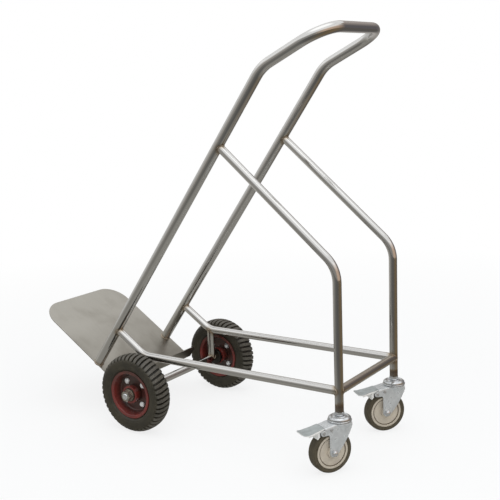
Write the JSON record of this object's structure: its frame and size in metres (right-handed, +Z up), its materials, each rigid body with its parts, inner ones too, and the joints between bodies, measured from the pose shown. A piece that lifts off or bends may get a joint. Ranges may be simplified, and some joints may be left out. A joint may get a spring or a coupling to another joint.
{
  "type": "oxygen cylinder trolley",
  "caption": "Leaning tube-frame hand trolley with a tilted toe plate, lug-tyred front wheels and braked swivel casters, for standing and moving a gas cylinder.",
  "frame": {"origin": "on the floor under the middle of the trolley's bounding box", "axes": "+Z up, +X forward to the toe plate, +Y to the left of someone who pushes it"},
  "size_m": [0.9575, 0.4621, 0.9856],
  "materials": {
    "stainless_tube": "polished stainless steel tube",
    "stainless_plate": "brushed stainless sheet, faintly smudged",
    "black_rubber": "matt olive-black rubber",
    "red_paint": "dark red paint",
    "bright_steel": "bright zinc plated",
    "dark_steel": "blackened steel",
    "zinc_plate": "pressed zinc plated sheet",
    "grey_rubber": "matt dark grey rubber",
    "cream_plastic": "moulded beige-grey plastic"
  },
  "bodies": {
    "frame": {"handle_frame": "stainless_tube", "toe_plate": "stainless_plate", "rear_crossbar": "stainless_tube", "axle_tube": "stainless_tube", "axle_shaft": "bright_steel", "hub_spacers": "dark_steel", "axle_washers": "bright_steel", "axle_nuts": "bright_steel", "leg_plugs": "bright_steel", "caster_stems": "bright_steel", "stem_nuts": "bright_steel", "swivel_caps": "zinc_plate", "ball_rings": "bright_steel", "rear_leg_left": "stainless_tube", "rear_leg_right": "stainless_tube", "side_rail_left": "stainless_tube", "side_rail_right": "stainless_tube", "axle_post_left": "stainless_tube", "axle_post_right": "stainless_tube"},
    "front_wheel_left": {"tyre_left": "black_rubber", "rim_outer_left": "red_paint", "rim_inner_left": "red_paint", "hub_left": "red_paint", "wheel_bearings_left": "bright_steel", "rim_bolts_left": "bright_steel", "rim_nuts_left": "bright_steel"},
    "caster_left": {"caster_fork_left": "zinc_plate", "caster_bush_left": "bright_steel", "caster_axle_bolt_left": "bright_steel", "caster_axle_nut_left": "bright_steel", "pedal_pin_left": "bright_steel", "brake_leaf_left": "dark_steel", "leaf_rivet_left": "bright_steel"},
    "caster_wheel_left": {"caster_tread_left": "grey_rubber", "caster_core_left": "cream_plastic"},
    "brake_left": {"brake_pedal_left": "zinc_plate"},
    "front_wheel_right": {"tyre_right": "black_rubber", "rim_outer_right": "red_paint", "rim_inner_right": "red_paint", "hub_right": "red_paint", "wheel_bearings_right": "bright_steel", "rim_bolts_right": "bright_steel", "rim_nuts_right": "bright_steel"},
    "caster_right": {"caster_fork_right": "zinc_plate", "caster_bush_right": "bright_steel", "caster_axle_bolt_right": "bright_steel", "caster_axle_nut_right": "bright_steel", "pedal_pin_right": "bright_steel", "brake_leaf_right": "dark_steel", "leaf_rivet_right": "bright_steel"},
    "caster_wheel_right": {"caster_tread_right": "grey_rubber", "caster_core_right": "cream_plastic"},
    "brake_right": {"brake_pedal_right": "zinc_plate"}
  },
  "joints": [
    {"name": "front_wheel_left_spin", "type": "hinge", "parent": "frame", "child": "front_wheel_left", "pos_m": [0.11163, 0.1863, 0.1], "axis": [0, 1, 0], "continuous": true},
    {"name": "caster_left_swivel", "type": "hinge", "parent": "frame", "child": "caster_left", "pos_m": [-0.44977, 0.139, 0], "axis": [0, 0, 1], "continuous": true},
    {"name": "caster_wheel_left_spin", "type": "hinge", "parent": "caster_left", "child": "caster_wheel_left", "pos_m": [-0.43652, 0.16195, 0.05], "axis": [-0.866, 0.5, 0], "continuous": true},
    {"name": "brake_left_press", "type": "hinge", "parent": "caster_left", "child": "brake_left", "pos_m": [-0.42378, 0.18403, 0.09975], "axis": [-0.866, 0.5, 0], "range_deg": [0, 10]},
    {"name": "front_wheel_right_spin", "type": "hinge", "parent": "frame", "child": "front_wheel_right", "pos_m": [0.11163, -0.1863, 0.1], "axis": [0, 1, 0], "continuous": true},
    {"name": "caster_right_swivel", "type": "hinge", "parent": "frame", "child": "caster_right", "pos_m": [-0.44977, -0.139, 0], "axis": [0, 0, 1], "continuous": true},
    {"name": "caster_wheel_right_spin", "type": "hinge", "parent": "caster_right", "child": "caster_wheel_right", "pos_m": [-0.43256, -0.11885, 0.05], "axis": [-0.7604, 0.6494, 0], "continuous": true},
    {"name": "brake_right_press", "type": "hinge", "parent": "caster_right", "child": "brake_right", "pos_m": [-0.416, -0.09946, 0.09975], "axis": [-0.7604, 0.6494, 0], "range_deg": [0, 10]}
  ]
}
